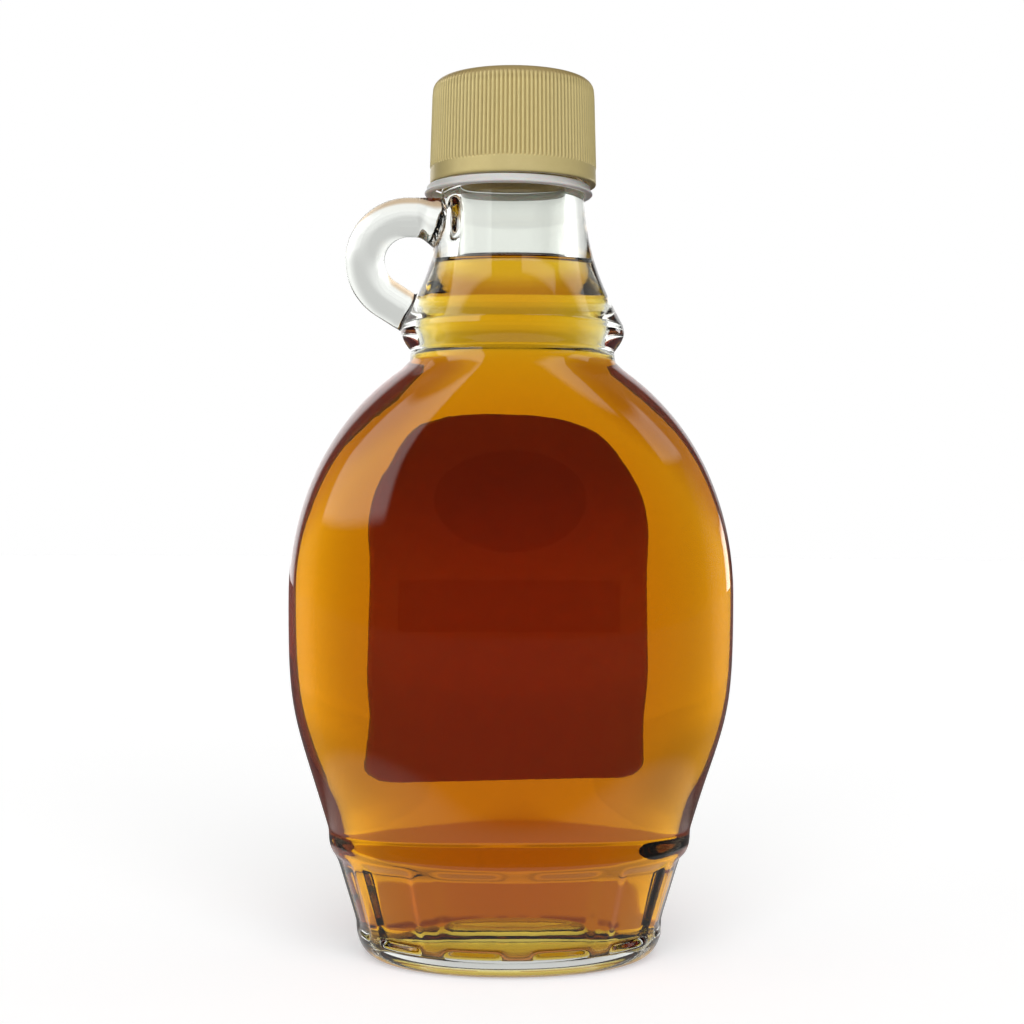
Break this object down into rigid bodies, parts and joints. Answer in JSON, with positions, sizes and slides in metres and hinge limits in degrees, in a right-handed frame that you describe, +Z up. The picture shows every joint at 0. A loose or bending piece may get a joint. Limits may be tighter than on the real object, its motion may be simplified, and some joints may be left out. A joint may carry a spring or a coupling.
{
  "type": "maple syrup flask",
  "caption": "Oval clear glass flask of amber maple syrup with a loop handle at its collar, a panelled foot, a ribbed gold screw cap and an arched paper label on its back.",
  "frame": {"origin": "centre of the foot, on the surface that the flask stands on", "axes": "+Z up along the neck, +Y towards the labelled face, handle towards -X"},
  "size_m": [0.0804, 0.0526, 0.1584],
  "materials": {
    "clear_glass": "smooth clear glass",
    "amber_syrup": "clear amber liquid",
    "gold_plastic": "satin gold with fine vertical ribs",
    "milky_plastic": "milky translucent",
    "label_paper": "uncoated paper with a printed front"
  },
  "bodies": {
    "root": {"glass_bottle": "clear_glass", "syrup": "amber_syrup", "cap": "gold_plastic", "tamper_ring": "milky_plastic", "label": "label_paper"}
  },
  "joints": []
}
